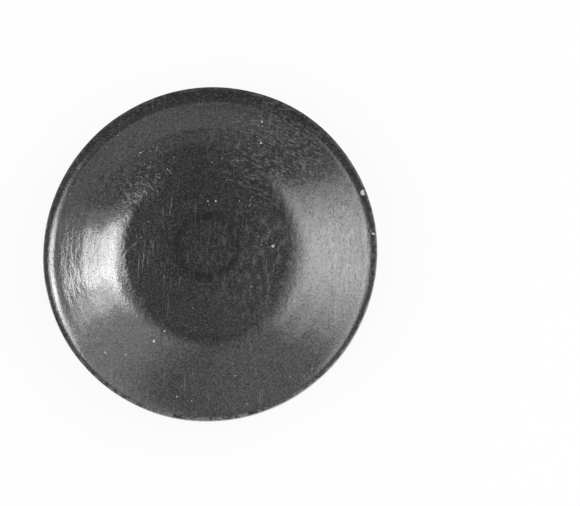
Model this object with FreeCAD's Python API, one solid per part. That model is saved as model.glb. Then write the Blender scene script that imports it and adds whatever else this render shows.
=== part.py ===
import FreeCAD, Part

import math
import os

# A push-in hole plug for sheet metal, moulded in one piece of soft black plastic.
# A shallow round head, shaped like an upturned saucer with an almost flat crown,
# covers the hole. Under it a hollow stem goes through the hole, and a barb round the
# stem snaps past the sheet. The head is a hollow shell too, so its thin rim gives.
#
# All sizes are in millimetres. +Z is the plug's own axis, from the stem to the head.
# The origin is on the axis, in the plane of the rim's sealing face, which is the
# outer face of the sheet when the plug is in place.

# the hole that it closes
hole_diameter = 12.7          # a half-inch hole
neck_squeeze = 0.07           # how much larger the neck's radius is than the hole's

# head
rim_diameter = 25.4           # one inch, twice the hole
rim_thickness = 0.52          # the blunt outer edge
land_width = 0.42             # narrow ring round the top of the rim
land_angle = 11.0             # its fall towards the edge, in degrees
cone_angle = 25.8             # slope of the head's flank, in degrees
crown_height = 3.24           # top of the crown above the sheet
crown_dome = 120.0            # radius of the crown's slight bulge
crown_wall = 1.09
flange_wall = 0.70            # measured square to the flank

# round dimple where the plastic was let into the mould
gate_radius = 2.25
gate_depth = 0.03
gate_bevel = 0.45

# stem
stem_wall = 1.25              # at the neck's top
groove_width = 0.57           # from the sealing face to the foot of the barb
barb_height = 0.59            # above the neck, before its crest is rounded
barb_shoulder = 0.30          # length of the steep side that holds the sheet
lead_length = 1.42            # first, steeper part of the taper
lead_angle = 29.5             # degrees from the axis
nose_length = 1.21            # last, gentler part of the taper
nose_angle = 17.5
bore_draft = 0.5              # the bore widens towards its mouth, in degrees

# roundings
crown_blend = 3.40            # the broad bend from crown to flank
land_blend = 0.60
rim_rounding = 0.10
seat_rounding = 0.15
ceiling_blend = 1.20
root_fillet = 0.35            # stem to head, inside the flange
groove_fillet = 0.22
barb_rounding = 0.22
lead_blend = 1.50
nose_rounding = 0.36
mouth_rounding = 0.10
bore_fillet = 0.45
largest_share = 0.45          # no rounding uses up more than this of a side beside it

# worked out from the sizes above
flank_slope = math.tan(math.radians(cone_angle))
neck_radius = hole_diameter / 2 + neck_squeeze
rim_radius = rim_diameter / 2
land_radius = rim_radius - land_width
land_height = rim_thickness + land_width * math.tan(math.radians(land_angle))
ceiling_height = crown_height - crown_wall
flange_depth = flange_wall / math.cos(math.radians(cone_angle))
shoulder_height = -groove_width
crest_height = shoulder_height - barb_shoulder
crest_radius = neck_radius + barb_height
lead_end_height = crest_height - lead_length
lead_end_radius = crest_radius - lead_length * math.tan(math.radians(lead_angle))
nose_height = lead_end_height - nose_length
nose_radius = lead_end_radius - nose_length * math.tan(math.radians(nose_angle))
bore_top_radius = neck_radius - stem_wall
bore_depth = ceiling_height - nose_height
bore_mouth_radius = bore_top_radius + bore_depth * math.tan(math.radians(bore_draft))


def point(radius, height):
    return FreeCAD.Vector(radius, 0, height)


# Height of the crown's bulge at a radius.
def dome_height(radius):
    return crown_height - crown_dome + math.sqrt(crown_dome**2 - radius**2)


# Radius at which the underside of the flank, one wall inside its top, has a height.
def underside_radius(height):
    return land_radius + (land_height - flange_depth - height) / flank_slope


# Each corner is its radius, its height and its rounding.
def rim_corners():
    return [
        (land_radius, land_height, land_blend),
        (rim_radius, rim_thickness, rim_rounding),
        (rim_radius, 0, rim_rounding),
        (underside_radius(0), 0, seat_rounding),
    ]


# The hollow of the head ends in a flat ceiling beside the stem, or, where the neck
# is wider than that, on the stem itself.
def hollow_corners():
    ceiling_radius = underside_radius(ceiling_height)
    if neck_radius + root_fillet < ceiling_radius:
        return [
            (ceiling_radius, ceiling_height, ceiling_blend),
            (neck_radius, ceiling_height, root_fillet),
        ]
    meeting = land_height - flange_depth + (land_radius - neck_radius) * flank_slope
    return [(neck_radius, meeting, root_fillet)]


def barb_corners():
    return [
        (neck_radius, shoulder_height, groove_fillet),
        (crest_radius, crest_height, barb_rounding),
        (lead_end_radius, lead_end_height, lead_blend),
        (nose_radius, nose_height, nose_rounding),
    ]


def bore_corners():
    return [
        (bore_mouth_radius, nose_height, mouth_rounding),
        (bore_top_radius, ceiling_height, bore_fillet),
        (0, ceiling_height, 0),
    ]


# The arc that leaves the crown's bulge and runs into the flank. Its centre is the
# blend's radius under both: on a line beside the flank, and on a circle in the bulge.
def blend_points():
    downhill = point(
        math.cos(math.radians(cone_angle)), -math.sin(math.radians(cone_angle))
    )
    outward = point(
        math.sin(math.radians(cone_angle)), math.cos(math.radians(cone_angle))
    )
    dome_centre = point(0, crown_height - crown_dome)
    on_line = point(land_radius, land_height) - outward * crown_blend
    offset = on_line - dome_centre
    along = offset.dot(downhill)
    reach = crown_dome - crown_blend
    back = along + math.sqrt(along**2 - offset.dot(offset) + reach**2)
    centre = on_line - downhill * back
    upward = (centre - dome_centre).normalize()
    halfway = (upward + outward).normalize()
    return [centre + side * crown_blend for side in (upward, halfway, outward)]


def crown_edges():
    gate_rim = point(gate_radius, dome_height(gate_radius))
    floor_height = gate_rim.z - gate_depth
    floor_edge = point(gate_radius - gate_bevel, floor_height)
    start, middle, end = blend_points()
    halfway = (gate_radius + start.x) / 2
    on_dome = point(halfway, dome_height(halfway))
    return [
        Part.LineSegment(point(0, floor_height), floor_edge).toShape(),
        Part.LineSegment(floor_edge, gate_rim).toShape(),
        Part.Arc(gate_rim, on_dome, start).toShape(),
        Part.Arc(start, middle, end).toShape(),
    ]


# First, middle and last point of the arc that rounds a corner.
def corner_arc(before, corner, after, rounding):
    back = before - corner
    ahead = after - corner
    shorter_side = min(back.Length, ahead.Length)
    half_angle = back.getAngle(ahead) / 2
    back.normalize()
    ahead.normalize()
    inward = (back + ahead).normalize()
    reach = min(rounding / math.tan(half_angle), shorter_side * largest_share)
    radius = reach * math.tan(half_angle)
    centre = corner + inward * (radius / math.sin(half_angle))
    return corner + back * reach, centre - inward * radius, corner + ahead * reach


# Straight sides from a first point through the corners, each one rounded.
def outline_edges(first_point, corners):
    points = [first_point] + [point(radius, height) for radius, height, _ in corners]
    edges = []
    start = first_point
    for index in range(1, len(points) - 1):
        begin, middle, end = corner_arc(
            points[index - 1], points[index], points[index + 1], corners[index - 1][2]
        )
        edges.append(Part.LineSegment(start, begin).toShape())
        edges.append(Part.Arc(begin, middle, end).toShape())
        start = end
    edges.append(Part.LineSegment(start, points[-1]).toShape())
    return edges


def hole_plug():
    crown = crown_edges()
    corners = rim_corners() + hollow_corners() + barb_corners() + bore_corners()
    below = outline_edges(blend_points()[-1], corners)
    top = crown[0].Vertexes[0].Point
    axis_side = Part.LineSegment(point(0, ceiling_height), top).toShape()
    section = Part.Face(Part.Wire(crown + below + [axis_side]))
    return section.revolve(point(0, 0), point(0, 1), 360)


plug = hole_plug()
os.makedirs("parts", exist_ok=True)
plug.exportStep("parts/hole_plug.step")

print("solids", len(plug.Solids), "valid", plug.isValid())
print("volume in cubic millimetres", round(plug.Volume, 2))
print("lowest and highest point", round(nose_height, 3), crown_height)
print("neck, crest and nose radius", neck_radius, crest_radius, round(nose_radius, 3))
print("bore radius at its top and mouth", bore_top_radius, round(bore_mouth_radius, 3))
print("crown's flat radius", round(blend_points()[0].x, 3))
print("inner radius of the seat", round(underside_radius(0), 3))
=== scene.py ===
import math
import random

import bpy
from mathutils import Matrix, Vector, noise


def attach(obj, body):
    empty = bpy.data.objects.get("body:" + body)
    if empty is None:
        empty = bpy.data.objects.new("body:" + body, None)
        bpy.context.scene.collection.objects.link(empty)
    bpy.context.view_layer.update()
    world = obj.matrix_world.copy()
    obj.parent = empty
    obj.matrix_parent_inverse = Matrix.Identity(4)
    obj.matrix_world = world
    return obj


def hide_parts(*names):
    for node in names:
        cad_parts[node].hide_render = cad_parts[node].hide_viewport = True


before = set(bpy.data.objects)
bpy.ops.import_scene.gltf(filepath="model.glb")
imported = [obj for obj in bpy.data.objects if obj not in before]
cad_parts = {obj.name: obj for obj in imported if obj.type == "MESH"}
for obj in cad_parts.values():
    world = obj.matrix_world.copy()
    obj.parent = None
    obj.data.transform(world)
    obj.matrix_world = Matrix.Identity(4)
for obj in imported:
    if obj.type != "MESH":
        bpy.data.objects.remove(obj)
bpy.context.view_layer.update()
print("stage: frame loaded")

mm = 0.001


# ways to write a node tree in few lines
def newGroup(name, inputs, outputs):
    group = bpy.data.node_groups.new(name, "ShaderNodeTree")
    for label, kind, value in inputs:
        socket = group.interface.new_socket(label, in_out="INPUT", socket_type=kind)
        if value is not None:
            socket.default_value = value
    for label, kind in outputs:
        group.interface.new_socket(label, in_out="OUTPUT", socket_type=kind)
    source = group.nodes.new("NodeGroupInput")
    target = group.nodes.new("NodeGroupOutput")
    return group, source, target


def put(tree, value, socket):
    if isinstance(value, bpy.types.NodeSocket):
        tree.links.new(value, socket)
    else:
        socket.default_value = value


def addNode(tree, kind, links=None, **settings):
    node = tree.nodes.new(kind)
    for key, value in settings.items():
        setattr(node, key, value)
    for socket, value in (links or {}).items():
        put(tree, value, node.inputs[socket])
    return node


def mathNode(tree, operation, first, second=None, third=None, clamp=False):
    links = {0: first}
    if second is not None:
        links[1] = second
    if third is not None:
        links[2] = third
    node = addNode(tree, "ShaderNodeMath", links, operation=operation, use_clamp=clamp)
    return node.outputs[0]


# From start, at low, to end, at high. Low may be the larger of the two.
def smoothStep(tree, value, low, high, start=0.0, end=1.0):
    links = {"Value": value, "From Min": low, "From Max": high}
    links.update({"To Min": start, "To Max": end})
    node = addNode(tree, "ShaderNodeMapRange", links, interpolation_type="SMOOTHSTEP")
    return node.outputs["Result"]


def mixColours(tree, share, first, second):
    node = addNode(tree, "ShaderNodeMix", data_type="RGBA")
    put(tree, share, node.inputs[0])
    put(tree, first, node.inputs[6])  # its two colour inputs come after its number inputs
    put(tree, second, node.inputs[7])
    return node.outputs[2]


def placeGroup(tree, group, links):
    node = tree.nodes.new("ShaderNodeGroup")
    node.node_tree = group
    for socket, value in links.items():
        put(tree, value, node.inputs[socket])
    return node


# A place turned about Z and squeezed along Y, so that a pattern is drawn out that way.
# A flat one has no height.
def drawnOut(tree, place, turn, stretch, flat=False):
    axis = addNode(tree, "ShaderNodeCombineXYZ", {"Z": 1.0})
    turned = addNode(
        tree,
        "ShaderNodeVectorRotate",
        {"Vector": place, "Axis": axis.outputs[0], "Angle": turn},
    )
    parts = addNode(tree, "ShaderNodeSeparateXYZ", {"Vector": turned.outputs[0]})
    along = mathNode(tree, "DIVIDE", parts.outputs["Y"], stretch)
    drawn = addNode(
        tree, "ShaderNodeCombineXYZ", {"X": parts.outputs["X"], "Y": along}
    )
    if not flat:
        put(tree, parts.outputs["Z"], drawn.inputs["Z"])
    return drawn.outputs[0]


def distanceFromAxis(tree, place):
    flat = addNode(
        tree, "ShaderNodeVectorMath", {0: place, 1: (1.0, 1.0, 0.0)}, operation="MULTIPLY"
    )
    length = addNode(
        tree, "ShaderNodeVectorMath", {0: flat.outputs[0]}, operation="LENGTH"
    )
    return length.outputs["Value"]


def noiseAt(tree, place, scale, detail=2.0, roughness=0.5):
    node = addNode(
        tree,
        "ShaderNodeTexNoise",
        {"Vector": place, "Scale": scale, "Detail": detail, "Roughness": roughness},
    )
    return node.outputs[0]


# Heights, in millimetres, of a moulded skin: soft waves, ripples that run along Y, and
# a fine grain. The ripples are calmer towards the rim.
def makeMouldSkin():
    group, source, target = newGroup(
        "Mould Skin",
        [
            ("Place", "NodeSocketVector", None),
            ("Waves per Millimetre", "NodeSocketFloat", 0.45),
            ("Wave Height", "NodeSocketFloat", 0.010),
            ("Ripples per Millimetre", "NodeSocketFloat", 2.6),
            ("Ripple Stretch", "NodeSocketFloat", 2.0),
            ("Ripple Height", "NodeSocketFloat", 0.010),
            ("Grain per Millimetre", "NodeSocketFloat", 8.0),
            ("Grain Height", "NodeSocketFloat", 0.003),
            ("Lively To", "NodeSocketFloat", 11.3),
            ("Calm Beyond", "NodeSocketFloat", 11.7),
            ("Calm Share", "NodeSocketFloat", 0.25),
        ],
        [("Height", "NodeSocketFloat"), ("Grain", "NodeSocketFloat")],
    )
    get = source.outputs
    place = get["Place"]
    waves = noiseAt(group, place, get["Waves per Millimetre"])
    drawn = drawnOut(group, place, 0.0, get["Ripple Stretch"])
    ripples = noiseAt(group, drawn, get["Ripples per Millimetre"], detail=1.5)
    grain = noiseAt(group, place, get["Grain per Millimetre"])
    radius = distanceFromAxis(group, place)
    lively = smoothStep(
        group,
        radius,
        get["Lively To"],
        get["Calm Beyond"],
        start=1.0,
        end=get["Calm Share"],
    )
    rippleHeight = mathNode(group, "MULTIPLY", get["Ripple Height"], lively)
    height = mathNode(group, "MULTIPLY", grain, get["Grain Height"])
    height = mathNode(group, "MULTIPLY_ADD", ripples, rippleHeight, height)
    height = mathNode(group, "MULTIPLY_ADD", waves, get["Wave Height"], height)
    group.links.new(height, target.inputs["Height"])
    group.links.new(grain, target.inputs["Grain"])
    return group


# Fine scratches: the level lines of a noise that is drawn out one way, with gaps.
def makeScratches():
    group, source, target = newGroup(
        "Fine Scratches",
        [
            ("Place", "NodeSocketVector", None),
            ("Turn", "NodeSocketFloat", 0.0),
            ("Per Millimetre", "NodeSocketFloat", 1.5),
            ("Stretch", "NodeSocketFloat", 14.0),
            ("Width", "NodeSocketFloat", 0.02),
            ("Gaps", "NodeSocketFloat", 0.56),
        ],
        [("Mask", "NodeSocketFloat")],
    )
    get = source.outputs
    drawn = drawnOut(group, get["Place"], get["Turn"], get["Stretch"], flat=True)
    level = noiseAt(group, drawn, get["Per Millimetre"], detail=1.0)
    middleLevel = 0.5
    fromMiddle = mathNode(group, "SUBTRACT", level, middleLevel)
    away = mathNode(group, "ABSOLUTE", fromMiddle)
    line = smoothStep(group, away, get["Width"], 0.0)

    # the gaps come from another part of a finer noise, so they don't follow the lines
    elsewhere = (7.0, 3.0, 0.0)
    finer = 2.2
    gapEdge = 0.08
    shifted = addNode(
        group, "ShaderNodeVectorMath", {0: drawn, 1: elsewhere}, operation="ADD"
    )
    gapsPerMillimetre = mathNode(group, "MULTIPLY", get["Per Millimetre"], finer)
    broken = noiseAt(group, shifted.outputs[0], gapsPerMillimetre)
    gapEnd = mathNode(group, "ADD", get["Gaps"], gapEdge)
    there = smoothStep(group, broken, get["Gaps"], gapEnd)
    group.links.new(mathNode(group, "MULTIPLY", line, there), target.inputs["Mask"])
    return group


# Streaks rubbed into the skin: soft, long, and side by side.
def makeStreaks():
    group, source, target = newGroup(
        "Rubbed Streaks",
        [
            ("Place", "NodeSocketVector", None),
            ("Turn", "NodeSocketFloat", 0.0),
            ("Per Millimetre", "NodeSocketFloat", 3.6),
            ("Stretch", "NodeSocketFloat", 8.0),
        ],
        [("Mask", "NodeSocketFloat")],
    )
    get = source.outputs
    drawn = drawnOut(group, get["Place"], get["Turn"], get["Stretch"])
    level = noiseAt(group, drawn, get["Per Millimetre"], detail=3.0, roughness=0.6)
    mask = smoothStep(group, level, low=0.36, high=0.66)
    group.links.new(mask, target.inputs["Mask"])
    return group


# A patch of short flecks, all drawn one way, thinning out from its middle. It draws
# scuffs, and also the painted sheen and painted glints on the face.
def makeScuffs():
    group, source, target = newGroup(
        "Scuffs",
        [
            ("Place", "NodeSocketVector", None),
            ("Middle", "NodeSocketVector", None),
            ("Reach", "NodeSocketFloat", 4.0),
            ("Turn", "NodeSocketFloat", -1.2),
            ("Per Millimetre", "NodeSocketFloat", 6.0),
            ("Stretch", "NodeSocketFloat", 2.6),
        ],
        [("Mask", "NodeSocketFloat")],
    )
    get = source.outputs
    drawn = drawnOut(group, get["Place"], get["Turn"], get["Stretch"])
    level = noiseAt(group, drawn, get["Per Millimetre"], detail=3.0, roughness=0.65)
    away = addNode(
        group,
        "ShaderNodeVectorMath",
        {0: get["Place"], 1: get["Middle"]},
        operation="DISTANCE",
    )
    share = mathNode(group, "DIVIDE", away.outputs["Value"], get["Reach"])
    here = smoothStep(group, share, low=0.3, high=1.0, start=1.0, end=0.0)
    fleck = smoothStep(group, level, low=0.49, high=0.70)
    group.links.new(mathNode(group, "MULTIPLY", fleck, here), target.inputs["Mask"])
    return group


# The rubbed outer edge: pale where the noise is high, and most of all on one side.
def makeRubbedEdge():
    group, source, target = newGroup(
        "Rubbed Edge",
        [
            ("Place", "NodeSocketVector", None),
            ("Inner Radius", "NodeSocketFloat", 12.42),
            ("Outer Radius", "NodeSocketFloat", 12.62),
            ("Side", "NodeSocketVector", (1.0, 0.0, 0.0)),
            ("Elsewhere", "NodeSocketFloat", 0.0),
            ("Per Millimetre", "NodeSocketFloat", 2.6),
        ],
        [("Mask", "NodeSocketFloat")],
    )
    get = source.outputs
    radius = distanceFromAxis(group, get["Place"])
    edge = smoothStep(group, radius, get["Inner Radius"], get["Outer Radius"])
    dot = addNode(
        group,
        "ShaderNodeVectorMath",
        {0: get["Place"], 1: get["Side"]},
        operation="DOT_PRODUCT",
    )
    facing = mathNode(group, "DIVIDE", dot.outputs["Value"], radius)
    side = smoothStep(group, facing, low=-0.45, high=0.45, start=get["Elsewhere"])
    level = noiseAt(
        group, get["Place"], get["Per Millimetre"], detail=3.0, roughness=0.65
    )
    patchy = smoothStep(group, level, low=0.40, high=0.62)
    mask = mathNode(group, "MULTIPLY", edge, side)
    group.links.new(mathNode(group, "MULTIPLY", mask, patchy), target.inputs["Mask"])
    return group


# A ring round the axis, for a trace in the skin such as the gate's edge.
def makeRingMark():
    group, source, target = newGroup(
        "Ring Mark",
        [
            ("Place", "NodeSocketVector", None),
            ("Radius", "NodeSocketFloat", 2.2),
            ("Width", "NodeSocketFloat", 0.3),
        ],
        [("Mask", "NodeSocketFloat")],
    )
    get = source.outputs
    radius = distanceFromAxis(group, get["Place"])
    gap = mathNode(group, "SUBTRACT", radius, get["Radius"])
    mask = smoothStep(group, mathNode(group, "ABSOLUTE", gap), get["Width"], 0.0)
    group.links.new(mask, target.inputs["Mask"])
    return group


# Dust: grains here and there, of many sizes up to one.
def makeDust():
    group, source, target = newGroup(
        "Dust Grains",
        [
            ("Place", "NodeSocketVector", None),
            ("Per Millimetre", "NodeSocketFloat", 0.8),
            ("Share", "NodeSocketFloat", 0.1),
            ("Size", "NodeSocketFloat", 0.06),
        ],
        [("Mask", "NodeSocketFloat")],
    )
    get = source.outputs
    smallest = 0.02
    core = 0.6  # the share of a grain inside which it is solid
    cells = addNode(
        group,
        "ShaderNodeTexVoronoi",
        {"Vector": get["Place"], "Scale": get["Per Millimetre"]},
        voronoi_dimensions="3D",
    )
    colour = addNode(group, "ShaderNodeSeparateColor", {"Color": cells.outputs["Color"]})
    lying = mathNode(group, "LESS_THAN", colour.outputs["Red"], get["Share"])
    size = mathNode(group, "MULTIPLY", colour.outputs["Green"], get["Size"])
    size = mathNode(group, "ADD", size, smallest)
    inner = mathNode(group, "MULTIPLY", size, core)
    grain = smoothStep(group, cells.outputs["Distance"], size, inner)
    mask = mathNode(group, "MULTIPLY", grain, lying)
    group.links.new(mask, target.inputs["Mask"])
    return group


mouldSkin = makeMouldSkin()
scratches = makeScratches()
streaks = makeStreaks()
scuffs = makeScuffs()
rubbedEdge = makeRubbedEdge()
ringMark = makeRingMark()
dustGrains = makeDust()
print("stage: surface effects made")


# black polyethylene, glossy from the mould and rubbed by handling
facePlastic = {
    "colour": (0.006, 0.006, 0.006, 1.0),
    "grainColour": (0.042, 0.042, 0.042, 1.0),
    "scratchColour": (0.09, 0.09, 0.09, 1.0),
    "scuffColour": (0.09, 0.09, 0.09, 1.0),
    # painted glints: pale flecks in the right highlight, standing in for its sparkle
    "paintedGlintColour": (0.11, 0.11, 0.11, 1.0),
    # painted sheen: a lighter mottled patch over the crown's right side, towards the
    # right softbox, standing in for its broad reflection
    "paintedSheenColour": (0.060, 0.060, 0.060, 1.0),
    "gateColour": (0.002, 0.002, 0.002, 1.0),
    "edgeColour": (0.12, 0.12, 0.12, 1.0),
    "dustColour": (0.42, 0.42, 0.41, 1.0),
    "paleGrainLevels": (0.42, 0.74),  # of the grain's noise, from black to pale
    "dullGrainLevels": (0.54, 0.32),  # the same, from shiny to dull
    "scratchShare": 0.55,  # how much of its colour shows
    "leftScuffShare": 0.6,
    "gateShare": 0.35,
    "gateStreakShare": 0.5,  # more of it where a streak crosses
    "roughness": 0.34,
    "scratchRoughness": 0.12,  # what this and the next one add to it
    "scuffRoughness": 0.15,
    "coatRoughness": 0.14,
    "coatWeight": 1.20,  # before what is lost below; anything left over 1 counts as 1
    "coatLoss": {
        "streaks": 0.24,
        "dullGrain": 0.5,
        "scuffs": 0.5,
        "blotches": 0.35,
        "leftBlotches": 0.45,
        "gate": 0.2,
        "dust": 0.7,
    },
    "innerSheen": 0.10,
    "waveHeight": 0.020,  # all heights and depths in millimetres
    "rippleHeight": 0.014,
    "grainHeight": 0.007,
    "scratchDepth": 0.0016,
    "scuffDepth": 0.006,
    "dustHeight": 0.02,
    # where each mark lies, in millimetres, and how it is turned, in radians
    "marks": {
        "uprightScratches": {"Turn": 0.05},
        "slantedScratches": {"Turn": 0.8, "Per Millimetre": 1.1, "Gaps": 0.64},
        "streaks": {"Turn": 0.05},
        "rightScuff": {"Middle": (4.8, 7.6, 2.0), "Reach": 6.5},
        "leftScuff": {"Middle": (-5.6, 6.4, 2.0), "Reach": 4.6},
        # painted sheen on the crown's right side, towards the right softbox
        "paintedSheen": {
            "Middle": (4.6, -1.0, 3.1),
            "Reach": 7.0,
            "Turn": 0.05,
            "Per Millimetre": 3.0,
            "Stretch": 2.0,
        },
        # painted glints: pale flecks in the right highlight, near the rim
        "paintedGlints": {
            "Middle": (10.4, 0.4, 0.9),
            "Reach": 5.0,
            "Turn": 0.05,
            "Per Millimetre": 5.0,
        },
        "blotches": {
            "Middle": (9.0, 3.6, 1.4),
            "Reach": 4.2,
            "Turn": 0.4,
            "Per Millimetre": 2.6,
            "Stretch": 1.3,
        },
        "leftBlotches": {
            "Middle": (-7.2, 6.0, 1.8),
            "Reach": 5.2,
            "Turn": 0.7,
            "Per Millimetre": 1.4,
            "Stretch": 1.6,
        },
        "edge": {"Side": (0.6, -0.8, 0.0), "Elsewhere": 0.3},
        "gate": {"Radius": 2.3, "Width": 0.65},
        "dust": {"Share": 0.09},
    },
}


def placeInMillimetres(tree):
    place = addNode(tree, "ShaderNodeTexCoord")
    scaled = addNode(
        tree,
        "ShaderNodeVectorMath",
        {0: place.outputs["Object"], "Scale": 1.0 / mm},
        operation="SCALE",
    )
    return scaled.outputs[0]


def makeFacePlastic(look):
    material = bpy.data.materials.new("black plastic face")
    material.use_nodes = True
    tree = material.node_tree
    shader = tree.nodes["Principled BSDF"]
    place = placeInMillimetres(tree)

    def markMask(group, mark):
        node = placeGroup(tree, group, {"Place": place, **look["marks"][mark]})
        return node.outputs["Mask"]

    skin = placeGroup(
        tree,
        mouldSkin,
        {
            "Place": place,
            "Wave Height": look["waveHeight"],
            "Ripple Height": look["rippleHeight"],
            "Grain Height": look["grainHeight"],
        },
    )
    upright = markMask(scratches, "uprightScratches")
    slanted = markMask(scratches, "slantedScratches")
    lines = mathNode(tree, "MAXIMUM", upright, slanted)
    rightScuff = markMask(scuffs, "rightScuff")
    leftScuff = markMask(scuffs, "leftScuff")
    scuffed = mathNode(tree, "MAXIMUM", rightScuff, leftScuff)
    streak = markMask(streaks, "streaks")
    # painted sheen: the crown's right side made lighter in mottled patches, where the
    # right softbox's broad reflection falls
    paintedSheen = markMask(scuffs, "paintedSheen")
    # painted glints: pale flecks laid into the right highlight's colour, standing in for
    # its sparkle
    paintedGlints = markMask(scuffs, "paintedGlints")
    blotches = markMask(scuffs, "blotches")
    leftBlotches = markMask(scuffs, "leftBlotches")
    edge = markMask(rubbedEdge, "edge")
    gate = markMask(ringMark, "gate")
    dust = markMask(dustGrains, "dust")
    paleGrain = smoothStep(tree, skin.outputs["Grain"], *look["paleGrainLevels"])
    dullGrain = smoothStep(tree, skin.outputs["Grain"], *look["dullGrainLevels"])

    leftShows = mathNode(tree, "MULTIPLY", leftScuff, look["leftScuffShare"])
    gateShare = mathNode(
        tree, "MULTIPLY_ADD", streak, look["gateStreakShare"], look["gateShare"]
    )
    gateShows = mathNode(tree, "MULTIPLY", gate, gateShare)
    linesShow = mathNode(tree, "MULTIPLY", lines, look["scratchShare"])
    colour = look["colour"]
    for share, over in (
        (paleGrain, "grainColour"),
        (rightScuff, "scuffColour"),
        (leftShows, "scuffColour"),
        # painted sheen
        (paintedSheen, "paintedSheenColour"),
        # painted glints
        (paintedGlints, "paintedGlintColour"),
        (gateShows, "gateColour"),
        (linesShow, "scratchColour"),
        (edge, "edgeColour"),
        (dust, "dustColour"),
    ):
        colour = mixColours(tree, share, colour, look[over])
    put(tree, colour, shader.inputs["Base Color"])

    roughness = mathNode(
        tree, "MULTIPLY_ADD", lines, look["scratchRoughness"], look["roughness"]
    )
    roughness = mathNode(
        tree, "MULTIPLY_ADD", scuffed, look["scuffRoughness"], roughness
    )
    put(tree, roughness, shader.inputs["Roughness"])

    loss = look["coatLoss"]
    coat = look["coatWeight"]
    for mask, worn in (
        (streak, "streaks"),
        (dullGrain, "dullGrain"),
        (scuffed, "scuffs"),
        (blotches, "blotches"),
        (leftBlotches, "leftBlotches"),
        (gate, "gate"),
    ):
        coat = mathNode(tree, "MULTIPLY_ADD", mask, -loss[worn], coat)
    coat = mathNode(tree, "MULTIPLY_ADD", dust, -loss["dust"], coat, clamp=True)
    put(tree, coat, shader.inputs["Coat Weight"])
    shader.inputs["Coat Roughness"].default_value = look["coatRoughness"]
    shader.inputs["Specular IOR Level"].default_value = look["innerSheen"]

    height = mathNode(
        tree, "MULTIPLY_ADD", lines, -look["scratchDepth"], skin.outputs["Height"]
    )
    height = mathNode(tree, "MULTIPLY_ADD", scuffed, -look["scuffDepth"], height)
    height = mathNode(tree, "MULTIPLY_ADD", dust, look["dustHeight"], height)
    bump = addNode(
        tree, "ShaderNodeBump", {"Height": height, "Strength": 1.0, "Distance": mm}
    )
    put(tree, bump.outputs[0], shader.inputs["Normal"])
    put(tree, bump.outputs[0], shader.inputs["Coat Normal"])
    return material


# The plug's section, with each size in millimetres and each angle in degrees. It
# follows the solid, but for the rim's edge, the land, the flank's slopes, the bend from
# crown to flank and the gate's depth, which are this plug's own.
plug = {
    "neckRadius": 6.42,
    "rimRadius": 12.70,
    "rimThickness": 0.57,
    "landWidth": 0.63,
    "landFall": 2.0,
    "coneAngle": 25.0,
    "outerConeAngle": 27.4,  # outside the radius below
    "outerConeFrom": 9.5,
    "crownHeight": 3.24,
    "crownDome": 120.0,
    "crownBlend": 5.8,
    "crownWall": 1.09,
    "flangeWall": 0.70,
    "gateRadius": 2.25,
    "gateDepth": 0.012,
    "gateBevel": 0.45,
    "stemWall": 1.25,
    "grooveWidth": 0.57,
    "barbHeight": 0.59,
    "barbShoulder": 0.30,
    "leadLength": 1.42,
    "leadAngle": 29.5,
    "noseLength": 1.21,
    "noseAngle": 17.5,
    "boreDraft": 0.5,
    # the roundings of the corners
    "coneBlend": 6.0,
    "landBlend": 1.15,
    "rimTopRounding": 0.04,
    "rimFootRounding": 0.10,
    "seatRounding": 0.15,
    "ceilingBlend": 1.20,
    "rootFillet": 0.35,
    "grooveFillet": 0.22,
    "barbRounding": 0.22,
    "leadBlend": 1.50,
    "noseRounding": 0.36,
    "mouthRounding": 0.10,
    "boreFillet": 0.45,
    "largestShare": 0.45,  # no rounding uses up more than this of a side beside it
    # how finely the mesh is divided
    "segments": 540,
    "crownSteps": 24,
    "arcStep": 7.5,
    "longestStep": 0.16,
    "shortestStep": 0.004,
}


def tangent(degrees):
    return math.tan(math.radians(degrees))


# Points along the arc that rounds a corner between two straight sides.
def cornerArc(before, corner, after, rounding):
    back = before - corner
    ahead = after - corner
    shorter = min(back.length, ahead.length)
    half = back.angle(ahead) / 2
    inward = (back.normalized() + ahead.normalized()).normalized()
    reach = min(rounding / math.tan(half), shorter * plug["largestShare"])
    radius = reach * math.tan(half)
    centre = corner + inward * (radius / math.sin(half))
    first = corner + back.normalized() * reach - centre
    last = corner + ahead.normalized() * reach - centre
    turn = first.angle(last)
    count = max(3, math.ceil(math.degrees(turn) / plug["arcStep"]))
    points = []
    for index in range(count + 1):
        share = index / count
        firstPart = first * math.sin((1 - share) * turn)
        lastPart = last * math.sin(share * turn)
        points.append(centre + (firstPart + lastPart) / math.sin(turn))
    return points


def domeHeight(radius):
    dome = plug["crownDome"]
    return plug["crownHeight"] - dome + math.sqrt(dome**2 - radius**2)


# Radius and height of the corner between flank and land.
def landCorner():
    radius = plug["rimRadius"] - plug["landWidth"]
    height = plug["rimThickness"] + plug["landWidth"] * tangent(plug["landFall"])
    return radius, height


# Radius and height of the corner between the flank's two slopes.
def coneCorner():
    radius = plug["outerConeFrom"]
    landRadius, landHeight = landCorner()
    height = landHeight + (landRadius - radius) * tangent(plug["outerConeAngle"])
    return radius, height


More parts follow.
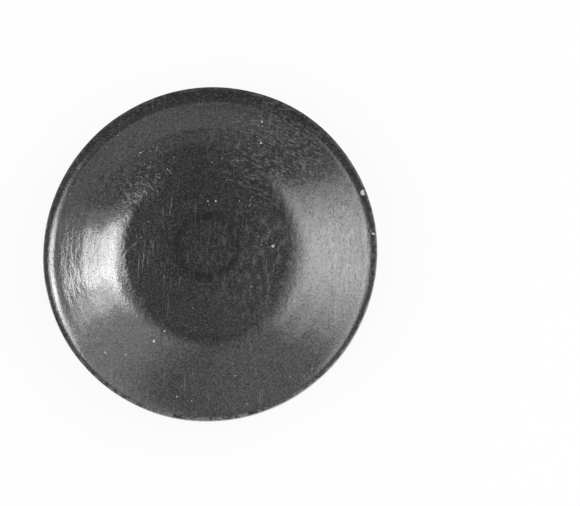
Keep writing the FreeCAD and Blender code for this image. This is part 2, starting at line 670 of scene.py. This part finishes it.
# The gate's dimple, the crown's bulge, and the broad bend from it into the flank. The
# bend's centre is its radius under both.
def crownPoints():
    gateRadius, blend = plug["gateRadius"], plug["crownBlend"]
    gateHeight = domeHeight(gateRadius)
    dimpleHeight = gateHeight - plug["gateDepth"]
    points = [
        Vector((0.0, dimpleHeight)),
        Vector((gateRadius - plug["gateBevel"], dimpleHeight)),
        Vector((gateRadius, gateHeight)),
    ]
    angle = math.radians(plug["coneAngle"])
    downhill = Vector((math.cos(angle), -math.sin(angle)))
    outward = Vector((math.sin(angle), math.cos(angle)))
    domeCentre = Vector((0.0, plug["crownHeight"] - plug["crownDome"]))
    onLine = Vector(coneCorner()) - outward * blend
    offset = onLine - domeCentre
    along = offset.dot(downhill)
    reach = plug["crownDome"] - blend
    back = along + math.sqrt(along**2 - offset.dot(offset) + reach**2)
    centre = onLine - downhill * back
    upward = (centre - domeCentre).normalized()
    bendStart = centre + upward * blend
    steps = plug["crownSteps"]
    for index in range(1, steps):
        radius = gateRadius + (bendStart.x - gateRadius) * index / steps
        points.append(Vector((radius, domeHeight(radius))))
    for index in range(steps + 1):
        share = index / steps
        side = (upward * (1 - share) + outward * share).normalized()
        points.append(centre + side * blend)
    return points


# From the flank round to the bore's ceiling: radius, height and rounding of each corner.
def outlineCorners():
    slope = tangent(plug["coneAngle"])
    landRadius, landHeight = landCorner()
    coneRadius, coneHeight = coneCorner()
    ceiling = plug["crownHeight"] - plug["crownWall"]
    depth = plug["flangeWall"] / math.cos(math.radians(plug["coneAngle"]))
    shoulder = -plug["grooveWidth"]
    crest = shoulder - plug["barbShoulder"]
    crestRadius = plug["neckRadius"] + plug["barbHeight"]
    leadEnd = crest - plug["leadLength"]
    leadRadius = crestRadius - plug["leadLength"] * tangent(plug["leadAngle"])
    nose = leadEnd - plug["noseLength"]
    noseRadius = leadRadius - plug["noseLength"] * tangent(plug["noseAngle"])
    boreTop = plug["neckRadius"] - plug["stemWall"]
    boreMouth = boreTop + (ceiling - nose) * tangent(plug["boreDraft"])

    def undersideRadius(height):
        return coneRadius + (coneHeight - depth - height) / slope

    return [
        (coneRadius, coneHeight, plug["coneBlend"]),
        (landRadius, landHeight, plug["landBlend"]),
        (plug["rimRadius"], plug["rimThickness"], plug["rimTopRounding"]),
        (plug["rimRadius"], 0.0, plug["rimFootRounding"]),
        (undersideRadius(0.0), 0.0, plug["seatRounding"]),
        (undersideRadius(ceiling), ceiling, plug["ceilingBlend"]),
        (plug["neckRadius"], ceiling, plug["rootFillet"]),
        (plug["neckRadius"], shoulder, plug["grooveFillet"]),
        (crestRadius, crest, plug["barbRounding"]),
        (leadRadius, leadEnd, plug["leadBlend"]),
        (noseRadius, nose, plug["noseRounding"]),
        (boreMouth, nose, plug["mouthRounding"]),
        (boreTop, ceiling, plug["boreFillet"]),
        (0.0, ceiling, 0.0),
    ]


def sectionPoints():
    points = crownPoints()
    corners = outlineCorners()
    route = [points[-1]] + [Vector(corner[:2]) for corner in corners]
    for index in range(1, len(route) - 1):
        before, corner, after = route[index - 1 : index + 2]
        rounding = corners[index - 1][2]
        points += cornerArc(before, corner, after, rounding)
    points.append(route[-1])
    return points


def refineSection(points):
    fine = [points[0]]
    for point in points[1:]:
        gap = (point - fine[-1]).length
        if gap < plug["shortestStep"]:
            continue
        count = max(1, math.ceil(gap / plug["longestStep"]))
        start = fine[-1]
        for index in range(1, count + 1):
            fine.append(start.lerp(point, index / count))
    return fine


# What this plug has beyond its plain section: an off-centre flank, a ring-shaped sink
# mark over the stem, faint waves and a rim that is out of round. In millimetres and
# degrees. A level chooses which waves of the noise it gets.
wear = {
    "landShift": 0.32,  # how far the flank is off the rim's centre
    "landShiftTowards": 272.0,
    "landShiftFrom": 7.6,  # inside this radius it stays centred
    "sinkDepth": 0.010,
    "sinkRadius": 5.0,
    "sinkWidth": 1.05,
    "waveHeight": 0.006,
    "wavesPerMillimetre": 0.33,
    "fineWavesPerMillimetre": 0.9,
    "fineWaveShare": 0.45,
    "waveLevel": 3.1,
    "wavesFrom": 2.6,
    "wavesFullFrom": 7.0,
    "rimWave": 0.030,
    "rimWaveReach": 2.2,  # the larger, the more waves there are round the rim
    "fineRimWaves": 2.7,
    "fineRimWaveShare": 0.5,
    "rimWaveLevel": 8.0,
    "rimOval": 0.07,
    "rimOvalTowards": 82.0,
    "rimFrom": 11.0,
    "rimFullFrom": 12.4,
}


def gentle(value, low, high):
    share = min(1.0, max(0.0, (value - low) / (high - low)))
    return share * share * (3 - 2 * share)


def wornPlace(radius, height, azimuth, onTop):
    towards = math.radians(wear["landShiftTowards"])
    lean = wear["landShift"] * math.cos(azimuth - towards)
    landRadius = plug["rimRadius"] - plug["landWidth"]
    x, y = math.cos(azimuth), math.sin(azimuth)
    newRadius, newHeight = radius, height
    if onTop:
        if radius <= landRadius:
            shiftFrom = wear["landShiftFrom"]
            share = max(0.0, (radius - shiftFrom) / (landRadius - shiftFrom))
            newRadius += lean * share
        else:
            newRadius += lean * (plug["rimRadius"] - radius) / plug["landWidth"]
        sink = math.exp(-(((radius - wear["sinkRadius"]) / wear["sinkWidth"]) ** 2))
        newHeight -= wear["sinkDepth"] * sink
        spot = Vector((x * radius, y * radius, wear["waveLevel"]))
        fine = noise.noise(spot * wear["fineWavesPerMillimetre"])
        wave = noise.noise(spot * wear["wavesPerMillimetre"])
        wave += wear["fineWaveShare"] * fine
        grown = gentle(radius, wear["wavesFrom"], wear["wavesFullFrom"])
        newHeight += wear["waveHeight"] * wave * grown
    if radius > wear["rimFrom"]:
        edge = gentle(radius, wear["rimFrom"], wear["rimFullFrom"])
        reach = wear["rimWaveReach"]
        spot = Vector((x * reach, y * reach, wear["rimWaveLevel"]))
        fine = noise.noise(spot * wear["fineRimWaves"])
        wave = noise.noise(spot) + wear["fineRimWaveShare"] * fine
        oval = math.cos(2 * (azimuth - math.radians(wear["rimOvalTowards"])))
        newRadius += (wear["rimWave"] * wave + wear["rimOval"] * oval) * edge
    return newRadius, newHeight


# The faces between two rings. A ring of one vertex is a point on the axis.
def facesBetween(above, below, count):
    faces = []
    for step in range(count):
        following = (step + 1) % count
        if len(above) == 1:
            faces.append((above[0], below[step], below[following]))
        elif len(below) == 1:
            faces.append((above[step], below[0], above[following]))
        else:
            faces.append(
                (above[step], below[step], below[following], above[following])
            )
    return faces


def addMesh(meshName, objectName, vertices, faces):
    mesh = bpy.data.meshes.new(meshName)
    mesh.from_pydata(vertices, [], faces)
    mesh.polygons.foreach_set("use_smooth", [True] * len(faces))
    mesh.update()
    piece = bpy.data.objects.new(objectName, mesh)
    bpy.context.scene.collection.objects.link(piece)
    return piece


def makePlug():
    section = refineSection(sectionPoints())
    count = plug["segments"]
    rimIndex = max(range(len(section)), key=lambda index: section[index].x)
    nearAxis = 1e-6
    vertices, rings = [], []
    for index, point in enumerate(section):
        if point.x < nearAxis:
            rings.append([len(vertices)])
            vertices.append((0.0, 0.0, point.y * mm))
            continue
        ring = []
        for step in range(count):
            azimuth = 2 * math.pi * step / count
            radius, height = wornPlace(point.x, point.y, azimuth, index <= rimIndex)
            x = radius * math.cos(azimuth) * mm
            y = radius * math.sin(azimuth) * mm
            ring.append(len(vertices))
            vertices.append((x, y, height * mm))
        rings.append(ring)
    faces = []
    for above, below in zip(rings, rings[1:]):
        faces += facesBetween(above, below, count)
    return addMesh("plug body", "plugBody", vertices, faces)


plugBody = makePlug()
plugBody.data.materials.append(makeFacePlastic(facePlastic))
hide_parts("hole_plug")
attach(plugBody, "root")
print("stage: plug made,", len(plugBody.data.polygons), "faces")


# Specks of grit that stick to the plug. Each is its place from the axis and its width,
# all in millimetres.
grit = {
    "specks": [
        (4.0, 9.9, 0.17),
        (4.0, 8.1, 0.19),
        (0.7, 3.5, 0.16),
        (0.1, 3.5, 0.12),
        (5.0, 0.0, 0.22),
        (-4.0, -7.0, 0.24),
        (-7.8, -7.6, 0.16),
        (-5.1, 7.5, 0.14),
        (-3.2, -6.3, 0.13),
        (-2.4, -11.0, 0.13),
        (11.55, 4.45, 0.42),
        (12.35, 1.3, 0.22),
    ],
    # where it gathers: a place, how far it spreads, and how many
    "clusters": [
        (4.4, 0.4, 0.8, 10),
        (3.9, 3.3, 0.8, 6),
        (4.4, 8.0, 1.8, 14),
        (-3.6, 6.6, 1.4, 10),
        (-1.6, -10.9, 1.5, 9),
        (-3.6, -6.4, 0.7, 4),
        (0.0, 0.0, 12.0, 60),  # and some all over
    ],
    "smallest": 0.035,
    "largest": 0.09,
    "flatness": 0.55,  # height as a share of half the width
    "unevenness": 0.22,
    "fineUnevenness": 0.12,
    "sunk": 0.3,  # how far its foot is in the skin, as a share of its height
    "sides": 10,
    "rows": 3,
    "turnUpTo": 6.28,  # radians
    "colour": (0.36, 0.36, 0.35, 1.0),
    "roughness": 0.7,
    "seed": 7,
}


def addSpeck(vertices, faces, place, normal, width, turn):
    aside = normal.orthogonal().normalized()
    across = normal.cross(aside)
    sides, rows = grit["sides"], grit["rows"]
    first = len(vertices)
    vertices.append(place + normal * width / 2 * grit["flatness"])
    for row in range(1, rows + 1):
        fall = math.pi / 2 * row / rows
        level = math.cos(fall) if row < rows else -grit["sunk"]
        rise = width / 2 * grit["flatness"] * level
        for side in range(sides):
            angle = 2 * math.pi * side / sides + turn
            uneven = 1.0 + grit["unevenness"] * math.sin(2 * angle + turn)
            uneven += grit["fineUnevenness"] * math.sin(3 * angle)
            reach = width / 2 * math.sin(fall) * uneven
            outward = aside * math.cos(angle) + across * math.sin(angle)
            vertices.append(place + outward * reach + normal * rise)
    for side in range(sides):
        following = (side + 1) % sides
        faces.append((first, first + 1 + side, first + 1 + following))
        for row in range(rows - 1):
            above = first + 1 + row * sides
            below = above + sides
            faces.append(
                (above + side, below + side, below + following, above + following)
            )
    last = first + 1 + (rows - 1) * sides
    faces.append(tuple(last + side for side in reversed(range(sides))))


def makeGritMaterial():
    material = bpy.data.materials.new("pale grit")
    material.use_nodes = True
    shader = material.node_tree.nodes["Principled BSDF"]
    shader.inputs["Base Color"].default_value = grit["colour"]
    shader.inputs["Roughness"].default_value = grit["roughness"]
    return material


# Each speck lies where a line straight down meets the body.
def makeGrit(body):
    draw = random.Random(grit["seed"])
    specks = [(Vector((x, y)), width) for x, y, width in grit["specks"]]
    for x, y, spread, count in grit["clusters"]:
        for _ in range(count):
            radius = spread * math.sqrt(draw.random())
            azimuth = draw.uniform(0, 2 * math.pi)
            aside = Vector((radius * math.cos(azimuth), radius * math.sin(azimuth)))
            width = draw.uniform(grit["smallest"], grit["largest"])
            specks.append((Vector((x, y)) + aside, width))
    down = Vector((0.0, 0.0, -1.0))
    wellAbove = 10.0
    vertices, faces = [], []
    for spot, width in specks:
        above = Vector((spot.x, spot.y, wellAbove)) * mm
        hit, place, normal, _ = body.ray_cast(above, down)
        if hit:
            turn = draw.uniform(0, grit["turnUpTo"])
            addSpeck(vertices, faces, place, normal, width * mm, turn)
    specksOnPlug = addMesh("grit", "gritSpecks", vertices, faces)
    specksOnPlug.data.materials.append(makeGritMaterial())
    return specksOnPlug


bpy.context.view_layer.update()
gritSpecks = makeGrit(plugBody)
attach(gritSpecks, "root")
print("stage: grit laid on,", len(gritSpecks.data.polygons), "faces")


# floor, light and camera
studio = {
    "floorHeight": -3.5,  # in millimetres
    "floorHalf": 1.2,  # in metres
    "floorColour": (0.72, 0.72, 0.72, 1.0),
    "floorRoughness": 0.9,
    "floorSheen": 0.1,
    "floorGlow": 0.90,  # how much of the floor's white comes from itself
    "skyColour": (1.0, 1.0, 1.0, 1.0),
    "skyLow": 1.3,
    "skyAround": 0.38,
    "skyOverhead": 0.11,
    "lowUpTo": 23.5,  # this and the next two in degrees above the horizon
    "aroundUpTo": 56.0,
    "overheadFrom": 75.0,
    "lowEdge": 2.0,  # degrees over which the low light fades, on either side
    "lightDistance": 0.30,  # in metres
    "layerGap": 0.04,  # as a share of that distance
}
# Each softbox is as wide and as high as it looks from the plug, in degrees. Its
# middle is brighter: it has layers, each smaller than the last, down to a share. The
# first few light the colours, and the others are only seen in reflections.
softboxes = {
    "left softbox": {
        "azimuth": 169.5,
        "elevation": 43.0,
        "width": 19.0,
        "height": 27.0,
        "lean": -6.0,
        "radiance": 15.5,
        "layers": 1,
        "lighting": 0,
        "innermost": 1.0,
    },
    "left side softbox": {
        "azimuth": 184.5,
        "elevation": 45.0,
        "width": 16.0,
        "height": 26.0,
        "lean": -6.0,
        "radiance": 7.9,
        "layers": 1,
        "lighting": 0,
        "innermost": 1.0,
    },
    "left shoulder softbox": {
        "azimuth": 155.0,
        "elevation": 39.0,
        "width": 12.0,
        "height": 28.0,
        "lean": -6.0,
        "radiance": 1.9,
        "layers": 1,
        "lighting": 1,
        "innermost": 1.0,
    },
    "left upper softbox": {
        "azimuth": 157.0,
        "elevation": 60.0,
        "width": 12.0,
        "height": 17.0,
        "lean": -15.0,
        "radiance": 12.0,
        "layers": 1,
        "lighting": 0,
        "innermost": 1.0,
    },
    "left card": {
        "azimuth": 206.0,
        "elevation": 44.5,
        "width": 46.0,
        "height": 52.0,
        "lean": 0.0,
        "radiance": 2.5,
        "layers": 3,
        "lighting": 3,
        "innermost": 0.55,
    },
    "front card": {
        "azimuth": 296.0,
        "elevation": 51.0,
        "width": 84.0,
        "height": 48.0,
        "lean": 0.0,
        "radiance": 1.0,
        "layers": 3,
        "lighting": 3,
        "innermost": 0.4,
    },
    "overhead card": {
        "azimuth": 17.0,
        "elevation": 85.3,
        "width": 30.0,
        "height": 20.0,
        "lean": 62.0,
        "radiance": 0.5,
        "layers": 1,
        "lighting": 1,
        "innermost": 1.0,
    },
    "right upper softbox": {
        "azimuth": 4.0,
        "elevation": 69.0,
        "width": 50.0,
        "height": 24.0,
        "lean": 0.0,
        "radiance": 1.6,
        "layers": 3,
        "lighting": 0,
        "innermost": 0.4,
    },
    "right softbox": {
        "azimuth": 11.5,
        "elevation": 42.5,
        "width": 62.0,
        "height": 56.0,
        "lean": 0.0,
        "radiance": 8.0,
        "layers": 4,
        "lighting": 1,
        "innermost": 0.35,
    },
}


def direction(azimuth, elevation):
    turn, rise = math.radians(azimuth), math.radians(elevation)
    x = math.cos(turn) * math.cos(rise)
    y = math.sin(turn) * math.cos(rise)
    return Vector((x, y, math.sin(rise)))


def makeFloorMaterial():
    material = bpy.data.materials.new("white floor")
    material.use_nodes = True
    tree = material.node_tree
    shader = tree.nodes["Principled BSDF"]
    shader.inputs["Base Color"].default_value = studio["floorColour"]
    shader.inputs["Roughness"].default_value = studio["floorRoughness"]
    shader.inputs["Specular IOR Level"].default_value = studio["floorSheen"]
    path = addNode(tree, "ShaderNodeLightPath")
    seen = mathNode(
        tree, "MAXIMUM", path.outputs["Is Camera Ray"], path.outputs["Is Glossy Ray"]
    )
    seen = mathNode(tree, "MAXIMUM", seen, path.outputs["Is Transmission Ray"])
    share = mathNode(tree, "MULTIPLY", seen, studio["floorGlow"])
    glow = addNode(tree, "ShaderNodeEmission", {"Strength": 1.0})
    both = addNode(tree, "ShaderNodeMixShader", {0: share})
    tree.links.new(shader.outputs[0], both.inputs[1])
    tree.links.new(glow.outputs[0], both.inputs[2])
    # seen from below, the floor is clear, so that the plug's underside shows
    sides = addNode(tree, "ShaderNodeNewGeometry")
    clear = addNode(tree, "ShaderNodeBsdfTransparent")
    oneWay = addNode(tree, "ShaderNodeMixShader", {0: sides.outputs["Backfacing"]})
    tree.links.new(both.outputs[0], oneWay.inputs[1])
    tree.links.new(clear.outputs[0], oneWay.inputs[2])
    tree.links.new(oneWay.outputs[0], tree.nodes["Material Output"].inputs["Surface"])
    return material


def makeFloor():
    half = studio["floorHalf"]
    height = studio["floorHeight"] * mm
    mesh = bpy.data.meshes.new("floor")
    corners = [
        (-half, -half, height),
        (half, -half, height),
        (half, half, height),
        (-half, half, height),
    ]
    mesh.from_pydata(corners, [], [(0, 1, 2, 3)])
    mesh.materials.append(makeFloorMaterial())
    floor = bpy.data.objects.new("floor", mesh)
    bpy.context.scene.collection.objects.link(floor)


def makeSoftbox(name, look):
    azimuth, lean = math.radians(look["azimuth"]), math.radians(look["lean"])
    towards = direction(look["azimuth"], look["elevation"])
    aside = Vector((-math.sin(azimuth), math.cos(azimuth), 0.0))
    upward = towards.cross(aside) * math.cos(lean) + aside * math.sin(lean)
    turn = Matrix((upward.cross(towards), upward, towards)).transposed()
    reach = 2 * studio["lightDistance"]
    width = reach * tangent(look["width"] / 2)
    height = reach * tangent(look["height"] / 2)
    for layer in range(look["layers"]):
        size = 1.0 - (1.0 - look["innermost"]) * layer / max(1, look["layers"] - 1)
        light = bpy.data.lights.new(name, "AREA")
        light.shape = "RECTANGLE"
        away = 1.0 + studio["layerGap"] * layer
        light.size = width * size * away
        light.size_y = height * size * away
        area = light.size * light.size_y
        light.energy = look["radiance"] / look["layers"] * math.pi * area
        lamp = bpy.data.objects.new(name, light)
        lamp.location = towards * studio["lightDistance"] * away
        lamp.rotation_mode = "QUATERNION"
        lamp.rotation_quaternion = turn.to_quaternion()
        lamp.visible_camera = False
        lamp.visible_diffuse = layer < look["lighting"]
        bpy.context.scene.collection.objects.link(lamp)


# The room: bright near the horizon, dim above that, dimmer overhead, and white to the
# camera.
def makeWorld():
    world = bpy.data.worlds.new("studio")
    world.use_nodes = True
    tree = world.node_tree
    place = addNode(tree, "ShaderNodeTexCoord")
    parts = addNode(tree, "ShaderNodeSeparateXYZ", {0: place.outputs["Generated"]})
    height = parts.outputs["Z"]

    def heightAt(elevation):
        return math.sin(math.radians(elevation))

    sky = smoothStep(
        tree,
        height,
        heightAt(studio["aroundUpTo"]),
        heightAt(studio["overheadFrom"]),
        start=studio["skyAround"],
        end=studio["skyOverhead"],
    )
    low = smoothStep(
        tree,
        height,
        heightAt(studio["lowUpTo"] - studio["lowEdge"]),
        heightAt(studio["lowUpTo"] + studio["lowEdge"]),
        start=studio["skyLow"] - studio["skyAround"],
        end=0.0,
    )
    sky = mathNode(tree, "ADD", sky, low)
    path = addNode(tree, "ShaderNodeLightPath")
    strength = mathNode(tree, "MAXIMUM", sky, path.outputs["Is Camera Ray"])
    backdrop = tree.nodes["Background"]
    backdrop.inputs["Color"].default_value = studio["skyColour"]
    put(tree, strength, backdrop.inputs["Strength"])
    bpy.context.scene.world = world


makeFloor()
for boxName, boxLook in softboxes.items():
    makeSoftbox(boxName, boxLook)
makeWorld()
print("stage: floor and lights made")

view = {
    "tilt": 11.3,  # from the plug's axis
    "towards": 296.0,  # the side that the camera leans to, as an azimuth
    "distance": 0.60,  # this and the next two in metres
    "nearest": 0.01,
    "furthest": 10.0,
    "sensorWidth": 36.0,  # in millimetres
    "pixelsPerMillimetre": 13.27,
    "imageWidth": 580,
    "imageHeight": 506,
    "plugAt": (210.15, 253.95),  # where the head's middle is in the image
    "headMiddle": 0.26,  # its height in millimetres
}


def makeCamera():
    cameraData = bpy.data.cameras.new("camera")
    camera = bpy.data.objects.new("camera", cameraData)
    bpy.context.scene.collection.objects.link(camera)
    seenWidth = view["imageWidth"] / view["pixelsPerMillimetre"] * mm
    cameraData.sensor_width = view["sensorWidth"]
    cameraData.lens = view["sensorWidth"] * view["distance"] / seenWidth
    back = direction(view["towards"], 90.0 - view["tilt"])
    camera.rotation_mode = "QUATERNION"
    right = Vector((0.0, 1.0, 0.0)).cross(back).normalized()
    up = back.cross(right)
    turn = Matrix((right, up, back)).transposed()
    camera.rotation_quaternion = turn.to_quaternion()
    scale = mm / view["pixelsPerMillimetre"]
    aim = Vector((0.0, 0.0, view["headMiddle"] * mm))
    aim += right * (view["imageWidth"] / 2 - view["plugAt"][0]) * scale
    aim -= up * (view["imageHeight"] / 2 - view["plugAt"][1]) * scale
    camera.location = aim + back * view["distance"]
    cameraData.clip_start = view["nearest"]
    cameraData.clip_end = view["furthest"]
    bpy.context.scene.camera = camera


makeCamera()
bpy.context.scene.view_settings.view_transform = "Standard"
bpy.context.view_layer.update()
print("stage: camera made")
